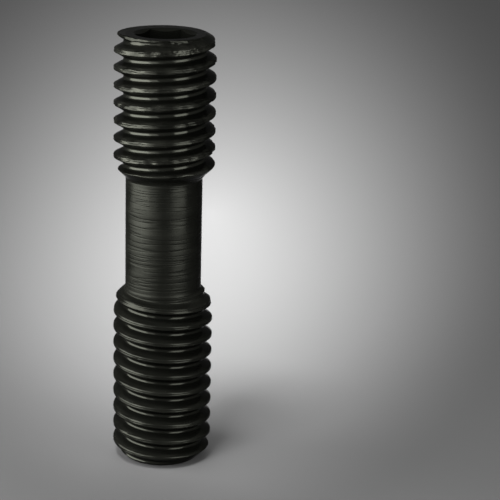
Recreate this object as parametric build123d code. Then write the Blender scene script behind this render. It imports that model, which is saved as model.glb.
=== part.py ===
"""Double-ended clamp screw, turned from one steel bar.

The screw stands on its lower end. The origin is the centre of the lower end face and +Z runs up the axis.
The upper thread is right-hand and the lower thread is left-hand, so turning the screw draws the two parts
that it joins together, or pushes them apart, by twice the pitch for each turn.
"""
import os
from math import ceil, cos, floor, radians, tan

from build123d import *

# Overall length, and each end's length of thread before the shoulder slopes to the neck
LENGTH = 25.0
LOWER_THREAD_LENGTH = 9.8
UPPER_THREAD_LENGTH = 7.43

# Thread, the same size at both ends. A metric form keeps its depth and its flats in step with the pitch
PITCH = 1.0
CREST_RADIUS = 2.88
FLANK_ANGLE = 60.0
THREAD_DEPTH = 0.55 * PITCH
ROOT_FLAT = 0.18 * PITCH
ROOT_RADIUS = CREST_RADIUS - THREAD_DEPTH

# Where a crest passes the -X side: above the lower face, and below the upper face
LOWER_CREST_HEIGHT = 0.94
UPPER_CREST_DEPTH = 0.91

# Shallow taper on the first turn below the upper face and below the lower shoulder
TAPER_HEIGHT = 1.1
TAPER_DEPTH = 0.17

# Plain neck between the threads, a little under the thread roots, and the slope of the shoulders to it
NECK_RELIEF = 0.15
NECK_RADIUS = ROOT_RADIUS - NECK_RELIEF
SHOULDER_ANGLE = 45.0

# Chamfer round the lower end
LOWER_CHAMFER = 0.68

# Hex socket in the upper end, with a chamfered mouth and a drilled bottom
SOCKET_ACROSS_FLATS = 3.0
SOCKET_DEPTH = 3.2
SOCKET_MOUTH_MARGIN = 0.05
SOCKET_MOUTH_ANGLE = 120.0
DRILL_CLEARANCE = 0.05
DRILL_TIP_ANGLE = 118.0

# How far the thread cutter stands outside the bar
CUTTER_MARGIN = 0.1 * PITCH

# Radius at the small end of each taper, and the heights where the neck begins and ends
TAPERED_RADIUS = CREST_RADIUS - TAPER_DEPTH
SHOULDER_SLOPE = tan(radians(SHOULDER_ANGLE))
NECK_BOTTOM = LOWER_THREAD_LENGTH + (TAPERED_RADIUS - NECK_RADIUS) / SHOULDER_SLOPE
NECK_TOP = LENGTH - UPPER_THREAD_LENGTH - (CREST_RADIUS - NECK_RADIUS) / SHOULDER_SLOPE


def bar():
    """The turned bar before threading: chamfered lower end, two tapered ends for the threads and the neck."""
    with BuildPart() as turned:
        with BuildSketch(Plane.YZ):
            with BuildLine():
                Polyline(
                    (0, 0),
                    (CREST_RADIUS - LOWER_CHAMFER, 0),
                    (CREST_RADIUS, LOWER_CHAMFER),
                    (CREST_RADIUS, LOWER_THREAD_LENGTH - TAPER_HEIGHT),
                    (TAPERED_RADIUS, LOWER_THREAD_LENGTH),
                    (NECK_RADIUS, NECK_BOTTOM),
                    (NECK_RADIUS, NECK_TOP),
                    (CREST_RADIUS, LENGTH - UPPER_THREAD_LENGTH),
                    (CREST_RADIUS, LENGTH - TAPER_HEIGHT),
                    (TAPERED_RADIUS, LENGTH),
                    (0, LENGTH),
                    close=True,
                )
            make_face()
        revolve(axis=Axis.Z)
    return turned.part


def groove_turn(start, left_hand):
    """One turn of the thread groove: a flat-bottomed V on a helix that starts over +X at the height start."""
    depth = CREST_RADIUS + CUTTER_MARGIN - ROOT_RADIUS
    mouth_half = ROOT_FLAT / 2 + depth * tan(radians(FLANK_ANGLE / 2))
    helix = Edge.make_helix(PITCH, PITCH, ROOT_RADIUS, center=(0, 0, start), lefthand=left_hand)
    with BuildPart() as cutter:
        with BuildSketch(Plane.XZ):
            with BuildLine():
                Polyline(
                    (ROOT_RADIUS, start - ROOT_FLAT / 2),
                    (ROOT_RADIUS + depth, start - mouth_half),
                    (ROOT_RADIUS + depth, start + mouth_half),
                    (ROOT_RADIUS, start + ROOT_FLAT / 2),
                    close=True,
                )
            make_face()
        sweep(path=helix, is_frenet=True)
    return cutter.part


def cut_thread(blank, bottom, top, start, left_hand):
    """Cut the groove turn by turn, as a lathe does, over every turn that can reach from bottom to top."""
    first = floor((bottom - start) / PITCH) - 1
    last = ceil((top - start) / PITCH)
    for turn in range(first, last + 1):
        blank = blank - groove_turn(start + turn * PITCH, left_hand)
    return blank


def cut_lower_thread(blank):
    """The left-hand thread, from the lower face to its shoulder, where the groove runs out over the neck."""
    return cut_thread(blank, 0, NECK_BOTTOM, LOWER_CREST_HEIGHT, left_hand=True)


def cut_upper_thread(blank):
    """The right-hand thread, from its shoulder, where the groove runs out over the neck, to the upper face."""
    return cut_thread(blank, NECK_TOP, LENGTH, LENGTH - UPPER_CREST_DEPTH, left_hand=False)


def socket():
    """The hex socket: a broached hexagon, a chamfer round its mouth and the cone that the drill left."""
    flat_half = SOCKET_ACROSS_FLATS / 2
    corner_radius = flat_half / cos(radians(30))
    mouth_radius = corner_radius + SOCKET_MOUTH_MARGIN
    mouth_depth = mouth_radius / tan(radians(SOCKET_MOUTH_ANGLE / 2))
    drill_radius = flat_half - DRILL_CLEARANCE
    floor_height = LENGTH - SOCKET_DEPTH
    tip_height = floor_height - drill_radius / tan(radians(DRILL_TIP_ANGLE / 2))
    with BuildPart() as void:
        with BuildSketch(Plane.XY.offset(floor_height)):
            RegularPolygon(flat_half, 6, major_radius=False)
        extrude(amount=SOCKET_DEPTH)
        with BuildSketch(Plane.XZ):
            with BuildLine():
                Polyline((0, LENGTH), (mouth_radius, LENGTH), (0, LENGTH - mouth_depth), close=True)
            make_face()
        revolve(axis=Axis.Z)
        with BuildSketch(Plane.XZ):
            with BuildLine():
                Polyline((0, floor_height), (drill_radius, floor_height), (0, tip_height), close=True)
            make_face()
        revolve(axis=Axis.Z)
    return void.part


def clamp_screw():
    """The finished screw."""
    screw = cut_upper_thread(cut_lower_thread(bar())) - socket()
    screw.label = "clamp_screw"
    return screw


os.makedirs("parts", exist_ok=True)
export_step(clamp_screw(), "parts/clamp_screw.step")
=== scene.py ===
"""Looks of the double-ended clamp screw: its fine thread mesh, its black oxide finish, and a small studio.

Sizes in the shaping functions are millimetres, and the finished mesh is put into metres.
"""
from math import atan2, ceil, cos, degrees, hypot, pi, radians, sin, sqrt, tan

import bmesh
import bpy
from bpy.props import FloatProperty, FloatVectorProperty, PointerProperty
from mathutils import Matrix, Vector, noise


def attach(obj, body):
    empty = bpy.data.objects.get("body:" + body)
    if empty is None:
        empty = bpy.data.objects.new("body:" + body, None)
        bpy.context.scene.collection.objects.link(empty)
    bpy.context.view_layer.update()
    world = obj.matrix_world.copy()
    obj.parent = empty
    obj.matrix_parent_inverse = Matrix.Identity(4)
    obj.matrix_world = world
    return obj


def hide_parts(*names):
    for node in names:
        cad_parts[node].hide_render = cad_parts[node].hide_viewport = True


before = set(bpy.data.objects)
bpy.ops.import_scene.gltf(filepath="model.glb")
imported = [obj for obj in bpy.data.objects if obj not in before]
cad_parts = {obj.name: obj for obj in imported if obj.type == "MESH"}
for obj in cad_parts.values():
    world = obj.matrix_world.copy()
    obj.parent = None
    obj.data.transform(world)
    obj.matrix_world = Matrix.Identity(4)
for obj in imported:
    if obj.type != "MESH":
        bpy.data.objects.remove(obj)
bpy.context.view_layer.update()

bl_info = {
    "name": "Double-ended clamp screw",
    "version": (1, 0, 0),
    "blender": (4, 5, 0),
    "location": "3D View > Sidebar > Clamp Screw",
    "description": "Builds a threaded clamp screw with a black oxide finish and a small studio round it",
    "category": "Object",
}

# One millimetre in Blender's metres
MM = 0.001

# The thread form: the slope of its 60 degree flanks, its depth, its root flat, and how far in from its roots
# the neck is
FLANK_TAN = tan(radians(30))
THREAD_DEPTH = 0.55
ROOT_FLAT = 0.18
NECK_RELIEF = 0.15

# Mesh steps in a turn, in the rounding of a crest and in that of a root, and cuts across a flank
TURN_STEPS = 120
CREST_STEPS = 5
ROOT_STEPS = 4
FLANK_CUTS = 7

# An edge of the thread form longer than this is a flank
SHORTEST_FLANK = 0.3

# How far the roundings of crests and roots reach from their corners
LOWER_CREST_ROUND = 0.075
LOWER_ROOT_ROUND = 0.085
UPPER_CREST_ROUND = 0.05
UPPER_ROOT_ROUND = 0.07

# Width over which two surfaces that meet run into each other, as tumbling and oxide leave them, at a worn
# edge, where a shoulder meets the neck, and at the upper rim
WORN_EDGE = 0.035
NECK_FILLET = 0.08
RIM_ROUND = 0.06

# The worn corner between the lower face and its chamfer: how far in it starts, and how steeply it runs out
CORNER_WEAR = 0.04
CORNER_SLOPE = 3

# How much of the thread's thin end under the upper face has been knocked back: nothing where more than the
# first share of a pitch is left above the crest, and this much where less than the second is
BLUNTED = 0.85
BLUNT_SPAN = (0.95, 0.8)

# The fine seam along a thread crest: half its width, its depth on each thread and by the lower shoulder, and
# the heights below that shoulder between which it deepens
SEAM_HALF = 0.05
LOWER_SEAM = 0.014
UPPER_SEAM = 0.028
SHOULDER_SEAM = 0.03
SEAM_DEEPENS = (1, 0.4)

# Seams and knocks are on the crests alone, and grow in between two radii. On the lower thread both are these
# steps below the tapered radius. On the upper one they are above the root and above the tapered radius
LOWER_CREST_FROM = 0.15
LOWER_CREST_TO = 0.05
UPPER_CREST_FROM = 0.2
UPPER_CREST_TO = 0.05

# The step that the tool left above the lower thread's last ridge: how steep it is, how far its foot stands
# out from the neck, and the degrees round from the -X side over which it grows in and dies out
STEP_SLOPE = 2.6
STEP_FOOT = 0.03
STEP_GROWS = (-40, 40)
STEP_DIES = (175, 120)

# Knocks on the upper crests: how often they come in a millimetre, across and up the bar, the noise's place
# along the bar, the level above which it is a knock, the rise from there to a full one, and the depth of that
KNOCKS_ACROSS = 1.9
KNOCKS_UP = 2.6
KNOCKS_PLACE = 31
KNOCK_LEVEL = 0.18
KNOCK_RISE = 0.5
KNOCK_DEPTH = 0.09

# Width of the band inside an end face's rim, and how far each threaded end reaches along the neck
RIM_BAND = 0.03
NECK_REACH = 0.25

# Vertices nearer than MERGE are one, heights and radii nearer than SAME are alike, and EXACT is for cuts
MERGE = 0.003
SAME = 0.001
EXACT = 0.00001

# Edges of the neck's wall shorter than this are dissolved, up to this margin past its ends
SLIVER = 0.025
WALL_MARGIN = 0.1

# Half the angle that a side of the socket's hexagon takes up
HALF_SIDE = radians(30)

# The socket's tools: how much wider the countersink is than the hexagon's corners and how much narrower the
# drill is than its flats, their points in degrees, and how far each tool goes on above its mouth
MOUTH_MARGIN = 0.05
MOUTH_ANGLE = 120
MOUTH_RISE = 0.5
DRILL_CLEARANCE = 0.05
DRILL_ANGLE = 118
DRILL_RISE = 0.02
BROACH_RISE = 1

# Edges in the socket that turn by more than this many degrees stay crisp, up to this margin round its corners
CRISP_ANGLE = 20
SOCKET_MARGIN = 0.2

# Heights of the finish's bumps: knocks, burrs, lathe rings and lathe lines
KNOCK_BUMP = 0.09
BURR_BUMP = 0.1
RING_BUMP = 0.04
LINE_BUMP = 0.011

# The side of the upper rim that has burrs, front and a little right
BURRED_SIDE = (0.3, -0.95, 0)

# The pool of light painted on the floor: the lamp's distance in front of the screw in metres, the pool's
# middle and size as that lamp throws them, and the levels of its gradient from its edge to its middle
LAMP_BACK = 0.095
POOL_MIDDLE = (0.0287, 6.826, 0)
POOL_SIZE = (0.2519, 6.29, 1)
POOL_LEVELS = (0.171, 1.382)

# Half the width of the floor, in metres
FLOOR_HALF = 1.5

# The panels that stand round the screw and shine in it: their distance, height and aim in metres, and the
# wing's share of the left panel's brightness
NEAR_PANEL = 0.042
NEAR_HEIGHT = 0.056
NEAR_AIM = (0, 0, 0.028)
WING_SHARE = 0.25

# The camera, fitted to the screw's outline: sensor and lens in millimetres, place in metres, turn in degrees
SENSOR = 36
LENS = 124.45
CAMERA_PLACE = (0, -0.094892, 0.041798)
CAMERA_YAW = 3.0
CAMERA_PITCH = 17.126
CAMERA_ROLL = 1.436


def linear(hex_colour):
    """An sRGB hex colour as linear red, green and blue."""
    parts = [int(hex_colour[k : k + 2], 16) / 255 for k in (1, 3, 5)]
    return tuple(c / 12.92 if c <= 0.04045 else ((c + 0.055) / 1.055) ** 2.4 for c in parts)


def low_of(a, b, width):
    """The lower of two heights, run together over the width where they cross."""
    near = max(width - abs(a - b), 0) / width
    return min(a, b) - near * near * width / 4


def high_of(a, b, width):
    """The higher of two heights, run together over the width where they cross."""
    return -low_of(-a, -b, width)


def smooth(value, start, end):
    """Rises smoothly from 0 at start to 1 at end."""
    part = min(max((value - start) / (end - start), 0), 1)
    return part * part * (3 - 2 * part)


class ScrewSizes(bpy.types.PropertyGroup):
    """Sizes of the screw."""

    length: FloatProperty(name="Length", description="Between the end faces", default=0.025, unit="LENGTH")
    pitch: FloatProperty(
        name="Pitch", description="From one thread ridge to the next", default=0.001, unit="LENGTH"
    )
    crest_radius: FloatProperty(
        name="Crest radius", description="From the axis to the thread crests", default=0.00288, unit="LENGTH"
    )
    lower_thread: FloatProperty(
        name="Lower thread", description="Thread below the lower shoulder", default=0.0098, unit="LENGTH"
    )
    upper_thread: FloatProperty(
        name="Upper thread", description="Thread above the upper shoulder", default=0.00743, unit="LENGTH"
    )
    lower_crest: FloatProperty(
        name="Lower crest", description="Height of the first crest at -X", default=0.00094, unit="LENGTH"
    )
    upper_crest: FloatProperty(
        name="Upper crest", description="Depth of the last crest at -X", default=0.00091, unit="LENGTH"
    )
    taper_height: FloatProperty(
        name="Taper height", description="Length of the taper on an end turn", default=0.0011, unit="LENGTH"
    )
    taper_depth: FloatProperty(
        name="Taper depth", description="How far the taper goes in", default=0.00017, unit="LENGTH"
    )
    chamfer: FloatProperty(
        name="Lower chamfer", description="Chamfer round the lower end", default=0.00068, unit="LENGTH"
    )
    socket_flats: FloatProperty(
        name="Socket across flats", description="Size of hex key that it takes", default=0.003, unit="LENGTH"
    )
    socket_depth: FloatProperty(
        name="Socket depth", description="From the upper face to the floor", default=0.0032, unit="LENGTH"
    )


class ScrewFinish(bpy.types.PropertyGroup):
    """Finish of the screw."""

    oxide: FloatVectorProperty(
        name="Oxide", description="Colour of the oxide", default=linear("#30312c"), subtype="COLOR"
    )
    worn: FloatVectorProperty(
        name="Worn crest", description="Oxide that is rubbed thin", default=linear("#4b4c45"), subtype="COLOR"
    )
    neck_roughness: FloatProperty(name="Neck roughness", description="Of the turned neck", default=0.34)
    thread_roughness: FloatProperty(name="Thread roughness", description="Of the threads", default=0.16)


class StudioSettings(bpy.types.PropertyGroup):
    """Floor, light and camera of the studio."""

    # The floor's colours far off and in the middle of the pool of light painted on it
    floor_glow: FloatVectorProperty(
        name="Floor glow", description="Floor behind the screw", default=linear("#f3f3f3"), subtype="COLOR"
    )
    floor_edge: FloatVectorProperty(
        name="Floor edge", description="Floor further off", default=linear("#585858"), subtype="COLOR"
    )
    key_strength: FloatProperty(name="Left panel", description="Brightness of the left panel", default=5.5)
    fill_strength: FloatProperty(name="Right panel", description="Brightness of the right panel", default=2.7)
    overhead_strength: FloatProperty(
        name="Overhead panel", description="Brightness of the overhead panel", default=44.0
    )
    back_strength: FloatProperty(name="Back panel", description="Brightness of the back panel", default=3.2)
    world_strength: FloatProperty(name="Room light", description="Brightness of the room", default=0.14)


def sizes_in_mm():
    """The screw's sizes in millimetres, with the ones that follow from them."""
    group = bpy.context.scene.clamp_screw_sizes
    mm = {name: getattr(group, name) / MM for name in ScrewSizes.__annotations__}
    mm["root_radius"] = mm["crest_radius"] - THREAD_DEPTH
    mm["neck_radius"] = mm["root_radius"] - NECK_RELIEF
    mm["tapered_radius"] = mm["crest_radius"] - mm["taper_depth"]
    mm["upper_start"] = mm["length"] - mm["upper_thread"]
    mm["neck_bottom"] = mm["lower_thread"] + mm["tapered_radius"] - mm["neck_radius"]
    mm["neck_top"] = mm["upper_start"] - (mm["crest_radius"] - mm["neck_radius"])
    mm["crest_half"] = mm["pitch"] / 2 - ROOT_FLAT / 2 - THREAD_DEPTH * FLANK_TAN
    mm["socket_corner"] = mm["socket_flats"] / 2 / cos(HALF_SIDE)
    return mm


def end_turn(mm, z, top):
    """Radius at a height of a thread that tapers over its last turn below its top."""
    taper_start = top - mm["taper_height"]
    taper = mm["crest_radius"] - (z - taper_start) * mm["taper_depth"] / mm["taper_height"]
    return min(mm["crest_radius"], taper)


def lower_limit(mm, z):
    """Radius of the turned lower half at a height: worn corner, chamfer, full size, taper and shoulder."""
    shoulder = mm["tapered_radius"] - (z - mm["lower_thread"])
    chamfer = mm["crest_radius"] - mm["chamfer"] + z
    corner = mm["crest_radius"] - mm["chamfer"] - CORNER_WEAR + CORNER_SLOPE * z
    body = low_of(end_turn(mm, z, mm["lower_thread"]), shoulder, WORN_EDGE)
    body = low_of(body, chamfer, WORN_EDGE)
    body = low_of(body, corner, WORN_EDGE)
    return high_of(body, mm["neck_radius"], NECK_FILLET)


def upper_limit(mm, z):
    """Radius of the turned upper half at a height: shoulder, full size and taper."""
    shoulder = mm["crest_radius"] - (mm["upper_start"] - z)
    body = low_of(end_turn(mm, z, mm["length"]), shoulder, WORN_EDGE)
    return high_of(body, mm["neck_radius"], NECK_FILLET)


def turned(place):
    """How far round a place is from the -X side, in turns, from -1 to 0."""
    return (degrees(atan2(place.y, place.x)) - 180) / 360


def blunt_end(mm, place):
    """Radius of the thread's blunted thin end, where the upper face cuts it off above the last groove."""
    crest = mm["length"] - mm["upper_crest"] + turned(place) * mm["pitch"]
    off = (mm["length"] - crest) / mm["pitch"] % 1
    groove = mm["length"] - (off - 0.5) * mm["pitch"]
    if off < 0.5 or place.z < groove:
        return mm["crest_radius"]
    thread = mm["crest_radius"] - max((1 - off) * mm["pitch"] - mm["crest_half"], 0) / FLANK_TAN
    outline = min(max(thread, mm["root_radius"]), mm["tapered_radius"])
    return outline - BLUNTED * smooth(off, *BLUNT_SPAN) * (outline - mm["root_radius"])


def crest_seam(mm, place, height, hand):
    """How near a place is to the middle of a crest that passes -X at a height, on a thread that rises with
    the turn (hand 1) or falls with it (-1): 1 on it, 0 a little way off."""
    off = (place.z - height) / mm["pitch"] - hand * turned(place)
    return max(1 - abs(off - round(off)) * mm["pitch"] / SEAM_HALF, 0)


def run_out(mm, place, radius):
    """Radius after the tool has run out above the lower thread's last ridge, where it left a steep step to
    the neck over the front half turn."""
    from_side = degrees(atan2(-place.y, -place.x))
    last = round((mm["lower_thread"] - mm["lower_crest"]) / mm["pitch"])
    height = place.z - mm["lower_crest"] - (last - from_side / 360) * mm["pitch"] - mm["crest_half"]
    if height < 0:
        return radius
    step = max(mm["tapered_radius"] - height * STEP_SLOPE, mm["neck_radius"] + STEP_FOOT)
    share = smooth(from_side, *STEP_GROWS) * smooth(from_side, *STEP_DIES)
    return radius - share * max(radius - step, 0)


def rim_drop(mm, z):
    """How far the rounded rim of the upper face goes in at a height."""
    rise = min(max(z - mm["length"] + RIM_ROUND, 0), RIM_ROUND)
    return RIM_ROUND - sqrt(RIM_ROUND**2 - rise**2)


def knock(place):
    """How deep a knock goes in at a place, from 0 up: a few short marks, none over most of the surface."""
    along = place.z * KNOCKS_UP + KNOCKS_PLACE
    mark = noise.noise(Vector((place.x * KNOCKS_ACROSS, place.y * KNOCKS_ACROSS, along)))
    return max(mark - KNOCK_LEVEL, 0) / KNOCK_RISE


def thread_band(mm, start, turns, left_hand, crest_round, root_round):
    """One pitch of the thread form, spun up the axis for a number of turns."""
    bm = bmesh.new()
    pitch, root, crest = mm["pitch"], mm["root_radius"], mm["crest_radius"]
    half = pitch / 2
    form = (
        (root, 0),
        (root, ROOT_FLAT / 2),
        (crest, half - mm["crest_half"]),
        (crest - MERGE, half),
        (crest, half + mm["crest_half"]),
        (root, pitch - ROOT_FLAT / 2),
        (root, pitch),
    )
    points = [bm.verts.new((radius, 0, start + height)) for radius, height in form]
    for pair in zip(points, points[1:]):
        bm.edges.new(pair)
    for corner_radius, offset, steps in ((crest, crest_round, CREST_STEPS), (root, root_round, ROOT_STEPS)):
        corners = [v for v in bm.verts if abs(v.co.x - corner_radius) < SAME and len(v.link_edges) == 2]
        bmesh.ops.bevel(
            bm,
            geom=corners,
            offset=offset,
            offset_type="OFFSET",
            segments=steps,
            profile=0.5,
            affect="VERTICES",
            material=-1,
        )
    flanks = [e for e in bm.edges if e.calc_length() > SHORTEST_FLANK]
    bmesh.ops.subdivide_edges(bm, edges=flanks, cuts=FLANK_CUTS)
    bmesh.ops.spin(
        bm,
        geom=bm.verts[:] + bm.edges[:],
        cent=(0, 0, 0),
        axis=(0, 0, 1),
        dvec=(0, 0, pitch / TURN_STEPS),
        angle=-2 * pi if left_hand else 2 * pi,
        steps=TURN_STEPS,
        use_merge=False,
        use_duplicate=False,
    )
    first_turn = bm.verts[:] + bm.edges[:] + bm.faces[:]
    for turn in range(1, turns):
        copy = bmesh.ops.duplicate(bm, geom=first_turn)["geom"]
        next_turn = [part for part in copy if isinstance(part, bmesh.types.BMVert)]
        bmesh.ops.translate(bm, verts=next_turn, vec=(0, 0, turn * pitch))
    bmesh.ops.remove_doubles(bm, verts=bm.verts, dist=MERGE)
    return bm


def rim_at(bm, height):
    """The open edges that lie level at a height."""
    return [e for e in bm.edges if e.is_boundary and all(abs(v.co.z - height) < SAME for v in e.verts)]


def cut_at(bm, height, keep_above):
    """Cuts the mesh off level at a height."""
    bmesh.ops.bisect_plane(
        bm,
        geom=bm.verts[:] + bm.edges[:] + bm.faces[:],
        dist=EXACT,
        plane_co=(0, 0, height),
        plane_no=(0, 0, 1),
        clear_inner=keep_above,
        clear_outer=not keep_above,
    )


def shape_to(bm, limit):
    """Turns every vertex down to the radius that the bar has there."""
    for v in bm.verts:
        radius = hypot(v.co.x, v.co.y)
        wanted = limit(v.co, radius)
        v.co.x *= wanted / radius
        v.co.y *= wanted / radius


def close_end(bm, height):
    """Closes a level end with a face, and a narrow band inside its rim that keeps the face's shading flat."""
    face = bmesh.ops.contextual_create(bm, geom=rim_at(bm, height))["faces"]
    bmesh.ops.inset_region(bm, faces=face, thickness=RIM_BAND, use_even_offset=True)


def lower_half(mm):
    """The lower thread, left-hand, from its end face to the neck."""
    start = mm["lower_crest"] - 2 * mm["pitch"]
    turns = ceil((mm["neck_bottom"] - start) / mm["pitch"]) + 2
    bm = thread_band(mm, start, turns, True, LOWER_CREST_ROUND, LOWER_ROOT_ROUND)
    seam_from, seam_to = (mm["lower_thread"] - below for below in SEAM_DEEPENS)

    def limit(place, radius):
        wanted = run_out(mm, place, low_of(radius, lower_limit(mm, place.z), WORN_EDGE))
        deep = LOWER_SEAM + (SHOULDER_SEAM - LOWER_SEAM) * smooth(place.z, seam_from, seam_to)
        crest = smooth(wanted, mm["tapered_radius"] - LOWER_CREST_FROM, mm["tapered_radius"] - LOWER_CREST_TO)
        return wanted - deep * crest * crest_seam(mm, place, mm["lower_crest"], -1)

    shape_to(bm, limit)
    cut_at(bm, 0, True)
    close_end(bm, 0)
    cut_at(bm, mm["neck_bottom"] + NECK_REACH, False)
    return bm


def upper_half(mm):
    """The upper thread, right-hand, from the neck to the end face."""
    bottom = mm["neck_top"] - NECK_REACH
    groove = mm["length"] - mm["upper_crest"]
    start = groove - (ceil((groove - bottom) / mm["pitch"]) + 1) * mm["pitch"]
    turns = ceil((mm["length"] - start) / mm["pitch"]) + 2
    bm = thread_band(mm, start, turns, False, UPPER_CREST_ROUND, UPPER_ROOT_ROUND)

    def limit(place, radius):
        wanted = low_of(radius, upper_limit(mm, place.z), WORN_EDGE)
        if place.z > mm["length"] - mm["pitch"] / 2:
            wanted = low_of(wanted, blunt_end(mm, place), WORN_EDGE) - rim_drop(mm, place.z)
        crest = smooth(wanted, mm["root_radius"] + UPPER_CREST_FROM, mm["tapered_radius"] + UPPER_CREST_TO)
        seam = UPPER_SEAM * crest_seam(mm, place, groove, 1)
        return wanted - crest * (KNOCK_DEPTH * knock(place) + seam)

    shape_to(bm, limit)
    cut_at(bm, mm["length"], False)
    close_end(bm, mm["length"])
    cut_at(bm, bottom, True)
    return bm


def merged(parts):
    """Several bmeshes as one."""
    whole = bmesh.new()
    for bm in parts:
        mesh = bpy.data.meshes.new("part")
        bm.to_mesh(mesh)
        whole.from_mesh(mesh)
        bpy.data.meshes.remove(mesh)
        bm.free()
    return whole


def neck_wall(bm, mm):
    """Joins the two threads with the plain neck."""
    ends = (mm["neck_bottom"] + NECK_REACH, mm["neck_top"] - NECK_REACH)
    rims = rim_at(bm, ends[0]) + rim_at(bm, ends[1])
    for v in {v for e in rims for v in e.verts}:
        radius = hypot(v.co.x, v.co.y)
        v.co.x *= mm["neck_radius"] / radius
        v.co.y *= mm["neck_radius"] / radius
    bmesh.ops.bridge_loops(bm, edges=rims)
    low, high = ends[0] - WALL_MARGIN, ends[1] + WALL_MARGIN
    wall = [e for e in bm.edges if all(low < v.co.z < high for v in e.verts)]
    bmesh.ops.dissolve_degenerate(bm, dist=SLIVER, edges=wall)


def object_of(name, bm):
    """An object in the scene from a bmesh, in millimetres, with its faces turned outwards."""
    bmesh.ops.recalc_face_normals(bm, faces=bm.faces)
    mesh = bpy.data.meshes.new(name)
    bm.to_mesh(mesh)
    bm.free()
    piece = bpy.data.objects.new(name, mesh)
    bpy.context.scene.collection.objects.link(piece)
    return piece


def broach(mm):
    """The hexagonal broach of the socket, which goes on up out of the steel."""
    bm = bmesh.new()
    floor_height = mm["length"] - mm["socket_depth"]
    placed = Matrix.Translation((0, 0, floor_height)) @ Matrix.Rotation(HALF_SIDE, 4, "Z")
    bmesh.ops.create_circle(bm, segments=6, radius=mm["socket_corner"], cap_ends=True, matrix=placed)
    grown = bmesh.ops.extrude_face_region(bm, geom=bm.faces[:])
    tops = [part for part in grown["geom"] if isinstance(part, bmesh.types.BMVert)]
    bmesh.ops.translate(bm, verts=tops, vec=(0, 0, mm["socket_depth"] + BROACH_RISE))
    return object_of("broach", bm)


def cone_tool(name, mouth_radius, mouth_height, point_angle, rise):
    """A countersink or drill point: a cone, point down, of this radius at its mouth, going on up by rise."""
    bm = bmesh.new()
    slope = tan(radians(point_angle / 2))
    depth = mouth_radius / slope
    bmesh.ops.create_cone(
        bm,
        cap_ends=True,
        cap_tris=False,
        segments=TURN_STEPS,
        radius1=0,
        radius2=mouth_radius + rise * slope,
        depth=depth + rise,
        matrix=Matrix.Translation((0, 0, mouth_height - depth + (depth + rise) / 2)),
    )
    bmesh.ops.remove_doubles(bm, verts=bm.verts, dist=EXACT)
    return object_of(name, bm)


def cut_away(body, tool):
    """Cuts a tool's shape out of the body for good."""
    cut = body.modifiers.new("cut", "BOOLEAN")
    cut.operation = "DIFFERENCE"
    cut.solver = "EXACT"
    cut.object = tool
    solid = bpy.data.meshes.new_from_object(body.evaluated_get(bpy.context.evaluated_depsgraph_get()))
    body.modifiers.clear()
    old = body.data
    body.data = solid
    bpy.data.meshes.remove(old)
    bpy.data.objects.remove(tool)


def cut_socket(screw, mm):
    """Cuts the socket: the broached hexagon, the countersink round its mouth and the drill's point."""
    mouth_radius = mm["socket_corner"] + MOUTH_MARGIN
    drill_radius = mm["socket_flats"] / 2 - DRILL_CLEARANCE
    floor_height = mm["length"] - mm["socket_depth"]
    cut_away(screw, broach(mm))
    cut_away(screw, cone_tool("countersink", mouth_radius, mm["length"], MOUTH_ANGLE, MOUTH_RISE))
    cut_away(screw, cone_tool("drill_point", drill_radius, floor_height, DRILL_ANGLE, DRILL_RISE))


def mark_sharp(mesh, mm):
    """Keeps the socket's edges crisp, with all the rest shaded smooth."""
    bm = bmesh.new()
    bm.from_mesh(mesh)
    inside = mm["socket_corner"] + SOCKET_MARGIN
    for face in bm.faces:
        face.smooth = True
    for edge in bm.edges:
        in_socket = all(hypot(v.co.x, v.co.y) < inside and v.co.z > mm["neck_top"] for v in edge.verts)
        if in_socket and len(edge.link_faces) == 2 and edge.calc_face_angle() > radians(CRISP_ANGLE):
            edge.smooth = False
    bm.to_mesh(mesh)
    bm.free()


def add(tree, kind, inputs=None, **settings):
    """Adds one node with its settings, and sets or links each of its inputs, which go by name, or by number
    where several share a name. A Mix node's numbers are 0 for its factor, 2 and 3 for floats and 6 and 7 for
    colours."""
    node = tree.nodes.new(kind)
    for name, value in settings.items():
        setattr(node, name, value)
    for key, value in (inputs or {}).items():
        if isinstance(value, bpy.types.NodeSocket):
            tree.links.new(value, node.inputs[key])
        else:
            node.inputs[key].default_value = value
    return node


def empty_material(name):
    """A new material with no nodes in its tree."""
    material = bpy.data.materials.new(name)
    material.use_nodes = True
    material.node_tree.nodes.clear()
    return material


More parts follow.
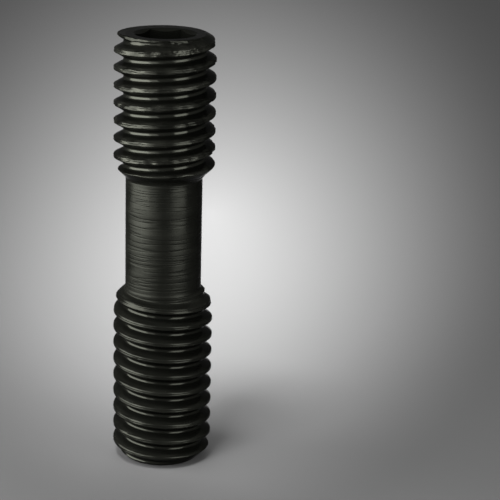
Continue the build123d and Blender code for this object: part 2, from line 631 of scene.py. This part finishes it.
def finish_masks(tree, in_mm, mm):
    """Where the screw's finish changes, as masks: by height, by distance from the axis, and by side."""
    axis = add(tree, "ShaderNodeSeparateXYZ", {"Vector": in_mm})
    flat = add(tree, "ShaderNodeCombineXYZ", {"X": axis.outputs["X"], "Y": axis.outputs["Y"]}).outputs[0]
    z = axis.outputs["Z"]
    radius = add(tree, "ShaderNodeVectorMath", {0: flat}, operation="LENGTH").outputs["Value"]
    side = add(tree, "ShaderNodeVectorMath", {0: in_mm, 1: BURRED_SIDE}, operation="DOT_PRODUCT")
    top, crest, root = mm["length"], mm["crest_radius"], mm["root_radius"]

    # Each mask: the value it follows, the start and end of its span on it, its level at each, and its way
    # between the two
    spans = {
        "above": (z, mm["neck_bottom"] - 0.5, mm["neck_bottom"] - 0.32, 0.0, 1.0, "SMOOTHSTEP"),
        "below": (z, mm["neck_top"] - 0.1, mm["neck_top"] + 0.2, 1.0, 0.0, "SMOOTHSTEP"),
        "upper": (z, mm["neck_top"], mm["neck_top"] + 0.5, 0.25, 1.0, "LINEAR"),
        "near_face": (z, top - 0.85, top - 0.7, 0.0, 1.0, "LINEAR"),
        "rim": (z, top - 0.5, top - 0.3, 0.0, 0.7, "LINEAR"),
        "under_face": (z, top - 0.5, top - 0.3, 1.0, 0.0, "LINEAR"),
        # Painted shade: where the colour of the upper end face is darkened
        "painted_end_shade": (z, top - 0.02, top - 0.005, 1.0, 0.55, "LINEAR"),
        "crest": (radius, crest - 0.27, crest - 0.15, 0.0, 1.0, "SMOOTHSTEP"),
        "bottom": (radius, root, root + 0.08, 1.0, 0.0, "LINEAR"),
        "side": (side.outputs["Value"], root - 0.2, root, 0.0, 1.0, "LINEAR"),
    }
    masks = {}
    for name, (value, start, end, low, high, way) in spans.items():
        node = add(
            tree,
            "ShaderNodeMapRange",
            {"Value": value, "From Min": start, "From Max": end, "To Min": low, "To Max": high},
            interpolation_type=way,
        )
        masks[name] = node.outputs[0]
    node = add(tree, "ShaderNodeMath", {0: radius, 1: root - 0.1}, operation="GREATER_THAN")
    masks["outside"] = node.outputs[0]

    # Each of these is two others multiplied
    for name, first, second in (
        ("neck", "above", "below"),
        ("burred", "side", "near_face"),
        ("edge", "rim", "outside"),
        ("groove", "bottom", "outside"),
        ("open_groove", "groove", "under_face"),
        # Painted highlight: where the colour is lightened in the groove bottoms, most on the upper thread
        ("painted_groove_glint", "open_groove", "upper"),
    ):
        node = add(tree, "ShaderNodeMath", {0: masks[first], 1: masks[second]}, operation="MULTIPLY")
        masks[name] = node.outputs[0]
    return masks


def finish_marks(tree, in_mm):
    """The marks in the screw's finish, each a noise that is stretched to the marks' own size."""

    # Each mark: how often it comes in a millimetre, across and up the bar, how much finer detail it has, and
    # how strong that is
    kinds = {
        # Lathe lines a quarter of a millimetre or so apart, and rings twice as far apart under them
        "lines": ((0.17, 0.17, 3.8), 1.5, 0.5),
        "rings": ((0.22, 0.22, 2.1), 1.0, 0.5),
        # Knocks and scrapes about a millimetre long
        "knocks": ((1.0, 1.0, 7.0), 1.5, 0.6),
        # Burrs of about a third of a millimetre
        "burrs": ((2.7, 2.7, 4.5), 1.0, 0.5),
        # Cloudy patches of oil and thicker oxide, a millimetre or two across
        "patches": ((0.9, 0.9, 0.9), 3.0, 0.55),
    }
    marks = {}
    for name, (scale, detail, strength) in kinds.items():
        stretched = add(tree, "ShaderNodeMapping", {"Vector": in_mm, "Scale": scale}).outputs["Vector"]
        node = add(
            tree,
            "ShaderNodeTexNoise",
            {"Vector": stretched, "Scale": 1.0, "Detail": detail, "Roughness": strength},
        )
        marks[name] = node.outputs[0]

    # A line shows where its noise passes its middle value, so it wanders and breaks off round the bar
    offset = add(tree, "ShaderNodeMath", {0: marks["lines"], 1: 0.5}, operation="SUBTRACT").outputs[0]
    nearness = add(tree, "ShaderNodeMath", {0: offset}, operation="ABSOLUTE").outputs[0]
    marks["lines"] = add(
        tree, "ShaderNodeMapRange", {"Value": nearness, "From Max": 0.085}, interpolation_type="SMOOTHSTEP"
    ).outputs[0]
    return marks


def coat_colour(tree, look, masks, marks):
    """The oxide's colour, with painted shade and a painted highlight in it, and how much it is knocked."""
    struck = add(
        tree, "ShaderNodeMath", {0: masks["edge"], 1: masks["crest"]}, operation="MAXIMUM"
    ).outputs[0]
    knocked = add(tree, "ShaderNodeMath", {0: struck, 1: masks["upper"]}, operation="MULTIPLY").outputs[0]
    thin = add(
        tree, "ShaderNodeMapRange", {"Value": marks["patches"], "From Min": 0.4, "From Max": 0.6}
    ).outputs[0]
    rubbed = add(tree, "ShaderNodeMath", {0: knocked, 1: thin}, operation="MULTIPLY").outputs[0]
    coat = add(
        tree, "ShaderNodeMix", {0: rubbed, 6: (*look.oxide, 1), 7: (*look.worn, 1)}, data_type="RGBA"
    ).outputs[2]

    # The colour is painted darker on the neck, on the upper thread and on the lower thread's crests, as
    # painted shade that dims how the panels light them, and painted lighter in the groove bottoms, most of
    # all on the upper thread, as a painted highlight that brightens their glints
    lower = add(tree, "ShaderNodeMath", {0: 1.0, 1: masks["upper"]}, operation="SUBTRACT").outputs[0]
    lower_crest = add(tree, "ShaderNodeMath", {0: masks["crest"], 1: lower}, operation="MULTIPLY").outputs[0]
    level = 1.0
    for where, change in (
        (masks["neck"], -0.17),
        (masks["upper"], -0.22),
        (lower_crest, -0.1),
        (masks["painted_groove_glint"], 0.9),
    ):
        step = add(tree, "ShaderNodeMath", {0: where, 1: change, 2: level}, operation="MULTIPLY_ADD")
        level = step.outputs[0]

    # The upper end face is painted darker, as painted shade for the dark room that it reflects, and is the
    # blackest part
    depth = add(tree, "ShaderNodeMath", {0: level, 1: masks["painted_end_shade"]}, operation="MULTIPLY").outputs[0]
    colour = add(tree, "ShaderNodeVectorMath", {0: coat, "Scale": depth}, operation="SCALE").outputs[0]
    return colour, knocked


def coat_roughness(tree, look, masks, marks):
    """The oxide's roughness: satin on the neck and glossier on the threads, with a swing from ring to ring,
    and from patch to patch of oil, and a little duller on the crests."""
    rough = add(
        tree,
        "ShaderNodeMix",
        {0: masks["neck"], 2: look.thread_roughness, 3: look.neck_roughness},
        data_type="FLOAT",
    ).outputs[0]
    for mark, low, high in (("rings", -0.05, 0.05), ("patches", -0.06, 0.07)):
        swing = add(
            tree,
            "ShaderNodeMapRange",
            {"Value": marks[mark], "From Min": 0.3, "From Max": 0.7, "To Min": low, "To Max": high},
        ).outputs[0]
        rough = add(tree, "ShaderNodeMath", {0: rough, 1: swing}, operation="ADD").outputs[0]
    dulled = add(
        tree, "ShaderNodeMath", {0: masks["crest"], 1: 0.05, 2: rough}, operation="MULTIPLY_ADD"
    ).outputs[0]
    return add(tree, "ShaderNodeMix", {0: masks["neck"], 2: dulled, 3: rough}, data_type="FLOAT").outputs[0]


def coat_relief(tree, knocked, masks, marks):
    """The fine relief of the turned and knocked steel under the oxide, as one normal."""
    cut = add(tree, "ShaderNodeMath", {0: masks["neck"], 1: masks["crest"]}, operation="MAXIMUM").outputs[0]
    ringed = add(tree, "ShaderNodeMapRange", {"Value": cut, "To Min": 0.05, "To Max": 0.8}).outputs[0]
    relief = add(
        tree, "ShaderNodeBump", {"Strength": knocked, "Distance": KNOCK_BUMP * MM, "Height": marks["knocks"]}
    ).outputs[0]
    for mark, strength, height in (
        ("burrs", masks["burred"], BURR_BUMP),
        ("rings", ringed, RING_BUMP),
        ("lines", ringed, LINE_BUMP),
    ):
        relief = add(
            tree,
            "ShaderNodeBump",
            {"Strength": strength, "Distance": height * MM, "Height": marks[mark], "Normal": relief},
        ).outputs[0]
    return relief


def black_oxide_steel():
    """Hot black oxide on turned and threaded steel, lightly oiled: near black, satin on the neck, where the
    lathe left fine uneven rings, and glossier on the thread flanks, with the oxide rubbed thinner along the
    crests. Its colour also carries painted shade, on the neck, the threads and the upper end face, and a
    painted highlight in the groove bottoms."""
    look = bpy.context.scene.clamp_screw_finish
    material = empty_material("black oxide on turned steel")
    tree = material.node_tree
    place = add(tree, "ShaderNodeTexCoord").outputs["Object"]
    per_mm = (1 / MM, 1 / MM, 1 / MM)
    in_mm = add(tree, "ShaderNodeMapping", {"Vector": place, "Scale": per_mm}).outputs["Vector"]
    masks = finish_masks(tree, in_mm, sizes_in_mm())
    marks = finish_marks(tree, in_mm)
    colour, knocked = coat_colour(tree, look, masks, marks)
    shader = add(
        tree,
        "ShaderNodeBsdfPrincipled",
        {
            "Base Color": colour,
            "Metallic": 0.83,
            "Specular Tint": (0.25, 0.25, 0.25, 1),
            "Roughness": coat_roughness(tree, look, masks, marks),
            "Anisotropic": 0.3,
            "Anisotropic Rotation": 0.0,
            "Tangent": add(tree, "ShaderNodeTangent", direction_type="RADIAL", axis="Z").outputs[0],
            "Normal": coat_relief(tree, knocked, masks, marks),
        },
    )
    add(tree, "ShaderNodeOutputMaterial", {"Surface": shader.outputs[0]})
    return material


def floor_paint():
    """Matt white-grey studio board, with a pool of light painted into its colour behind the screw and darker
    further off.
    """
    studio = bpy.context.scene.clamp_screw_studio
    material = empty_material("studio board with painted pool of light")
    tree = material.node_tree
    place = add(tree, "ShaderNodeTexCoord").outputs["Object"]

    # Floor positions as a lamp in front of the screw throws them, so that the pool of light painted on it is
    # round there
    spot = add(tree, "ShaderNodeSeparateXYZ", {"Vector": place})
    off = add(tree, "ShaderNodeMath", {0: spot.outputs["Y"], 1: LAMP_BACK}, operation="ADD").outputs[0]
    across = add(tree, "ShaderNodeMath", {0: spot.outputs["X"], 1: off}, operation="DIVIDE").outputs[0]
    along = add(tree, "ShaderNodeMath", {0: 1.0, 1: off}, operation="DIVIDE").outputs[0]
    thrown = add(tree, "ShaderNodeCombineXYZ", {"X": across, "Y": along}).outputs[0]
    pool = add(
        tree,
        "ShaderNodeMapping",
        {"Vector": thrown, "Location": POOL_MIDDLE, "Scale": POOL_SIZE},
        vector_type="TEXTURE",
    ).outputs["Vector"]
    glow = add(tree, "ShaderNodeTexGradient", {"Vector": pool}, gradient_type="SPHERICAL").outputs["Fac"]
    soft = add(
        tree,
        "ShaderNodeMapRange",
        {"Value": glow, "From Min": POOL_LEVELS[0], "From Max": POOL_LEVELS[1]},
        interpolation_type="SMOOTHSTEP",
    ).outputs[0]
    # Painted pool of light: the colour runs from the edge colour far off to the glow colour behind the screw
    colour = add(
        tree,
        "ShaderNodeMix",
        {0: soft, 6: (*studio.floor_edge, 1), 7: (*studio.floor_glow, 1)},
        data_type="RGBA",
    ).outputs[2]
    shader = add(
        tree, "ShaderNodeBsdfPrincipled", {"Base Color": colour, "Roughness": 0.9, "Specular IOR Level": 0.1}
    )
    add(tree, "ShaderNodeOutputMaterial", {"Surface": shader.outputs[0]})
    return material


def panel(name, azimuth, elevation, distance, width, height, strength, aim):
    """A soft light panel. Azimuth 0 is at the camera's side and grows to the left, and a panel of strength 1
    shines as white paper does."""
    light = bpy.data.lights.new(name, "AREA")
    light.shape = "RECTANGLE"
    light.size = width
    light.size_y = height
    light.energy = strength * pi * width * height
    lamp = bpy.data.objects.new(name, light)
    bpy.context.scene.collection.objects.link(lamp)
    round_by, up_by = radians(azimuth), radians(elevation)
    away = Vector((-sin(round_by) * cos(up_by), -cos(round_by) * cos(up_by), sin(up_by)))
    lamp.location = Vector(aim) + away * distance
    lamp.rotation_mode = "QUATERNION"
    lamp.rotation_quaternion = away.to_track_quat("Z", "Y")
    lamp.visible_camera = False
    return lamp


def lay_floor(scene):
    """The board that the screw stands on."""
    bm = bmesh.new()
    bmesh.ops.create_grid(bm, x_segments=1, y_segments=1, size=FLOOR_HALF)
    mesh = bpy.data.meshes.new("floor")
    bm.to_mesh(mesh)
    bm.free()
    ground = bpy.data.objects.new("floor", mesh)
    scene.collection.objects.link(ground)
    ground.data.materials.append(floor_paint())


def hang_lights(scene, studio):
    """Three panels round the screw that shine in it, two over it for the floor and shadow, and the room."""
    for name, azimuth, width, strength in (
        ("left_panel", 75.5, 0.0535, studio.key_strength),
        ("left_wing", 31.5, 0.017, studio.key_strength * WING_SHARE),
        ("right_panel", -44.5, 0.027, studio.fill_strength),
    ):
        panel(name, azimuth, 0, NEAR_PANEL, width, NEAR_HEIGHT, strength, NEAR_AIM)
    for name, azimuth, elevation, distance, side, strength, aim in (
        ("overhead_panel", 32, 70, 0.25, 0.06, studio.overhead_strength, (0, 0, 0)),
        ("back_panel", 180, 45, 0.30, 0.16, studio.back_strength, (0, 0.02, 0.02)),
    ):
        over = panel(name, azimuth, elevation, distance, side, side, strength, aim)
        over.visible_glossy = False
    world = bpy.data.worlds.new("room")
    world.use_nodes = True
    background = world.node_tree.nodes["Background"]
    background.inputs["Color"].default_value = (1, 1, 1, 1)
    background.inputs["Strength"].default_value = studio.world_strength
    scene.world = world


def set_camera(scene):
    """The camera, turned by its yaw, pitch and roll."""
    lens = bpy.data.cameras.new("camera")
    lens.sensor_width = SENSOR
    lens.lens = LENS
    lens.clip_start = 0.001
    lens.clip_end = 10
    camera = bpy.data.objects.new("camera", lens)
    scene.collection.objects.link(camera)
    yaw, pitch, roll = radians(CAMERA_YAW), radians(CAMERA_PITCH), radians(CAMERA_ROLL)
    ahead = Vector((sin(yaw) * cos(pitch), cos(yaw) * cos(pitch), -sin(pitch)))
    right = Vector((cos(yaw), -sin(yaw), 0))
    up = right.cross(ahead)
    rolled_right = cos(roll) * right + sin(roll) * up
    rolled_up = -sin(roll) * right + cos(roll) * up
    turn = Matrix((rolled_right, rolled_up, -ahead)).transposed().to_4x4()
    camera.matrix_world = Matrix.Translation(CAMERA_PLACE) @ turn
    scene.camera = camera


class OBJECT_OT_clamp_screw(bpy.types.Operator):
    """Builds the clamp screw"""

    bl_idname = "object.clamp_screw_build"
    bl_label = "Build the clamp screw"

    def execute(self, context):
        mm = sizes_in_mm()
        bm = merged((lower_half(mm), upper_half(mm)))
        neck_wall(bm, mm)
        bmesh.ops.remove_doubles(bm, verts=bm.verts, dist=SAME)
        screw = object_of("threaded_screw", bm)
        cut_socket(screw, mm)
        mark_sharp(screw.data, mm)
        screw.data.name = "threaded_screw"
        screw.data.transform(Matrix.Scale(MM, 4))
        screw.data.materials.clear()
        screw.data.materials.append(black_oxide_steel())
        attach(screw, "root")
        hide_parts("clamp_screw")
        return {"FINISHED"}


class SCENE_OT_clamp_screw_studio(bpy.types.Operator):
    """Sets up the floor, the lights and the camera"""

    bl_idname = "scene.clamp_screw_studio"
    bl_label = "Set up the studio"

    def execute(self, context):
        scene = context.scene
        lay_floor(scene)
        hang_lights(scene, scene.clamp_screw_studio)
        scene.view_settings.view_transform = "Standard"
        set_camera(scene)
        return {"FINISHED"}


class VIEW3D_PT_clamp_screw(bpy.types.Panel):
    """Sizes, finish and studio of the clamp screw"""

    bl_idname = "VIEW3D_PT_clamp_screw"
    bl_label = "Clamp screw"
    bl_space_type = "VIEW_3D"
    bl_region_type = "UI"
    bl_category = "Clamp Screw"

    def draw(self, context):
        for name, kind in GROUPS:
            group = getattr(context.scene, name)
            for field in kind.__annotations__:
                self.layout.prop(group, field)
        for step in STEPS:
            self.layout.operator(step.bl_idname)


GROUPS = (
    ("clamp_screw_sizes", ScrewSizes),
    ("clamp_screw_finish", ScrewFinish),
    ("clamp_screw_studio", StudioSettings),
)
STEPS = (OBJECT_OT_clamp_screw, SCENE_OT_clamp_screw_studio)
CLASSES = (ScrewSizes, ScrewFinish, StudioSettings, *STEPS, VIEW3D_PT_clamp_screw)


def register():
    for kind in CLASSES:
        bpy.utils.register_class(kind)
    for name, kind in GROUPS:
        setattr(bpy.types.Scene, name, PointerProperty(type=kind))


def unregister():
    for name, kind in GROUPS:
        delattr(bpy.types.Scene, name)
    for kind in reversed(CLASSES):
        bpy.utils.unregister_class(kind)


def main():
    register()
    bpy.ops.object.clamp_screw_build()
    bpy.ops.scene.clamp_screw_studio()


if __name__ == "__main__":
    main()
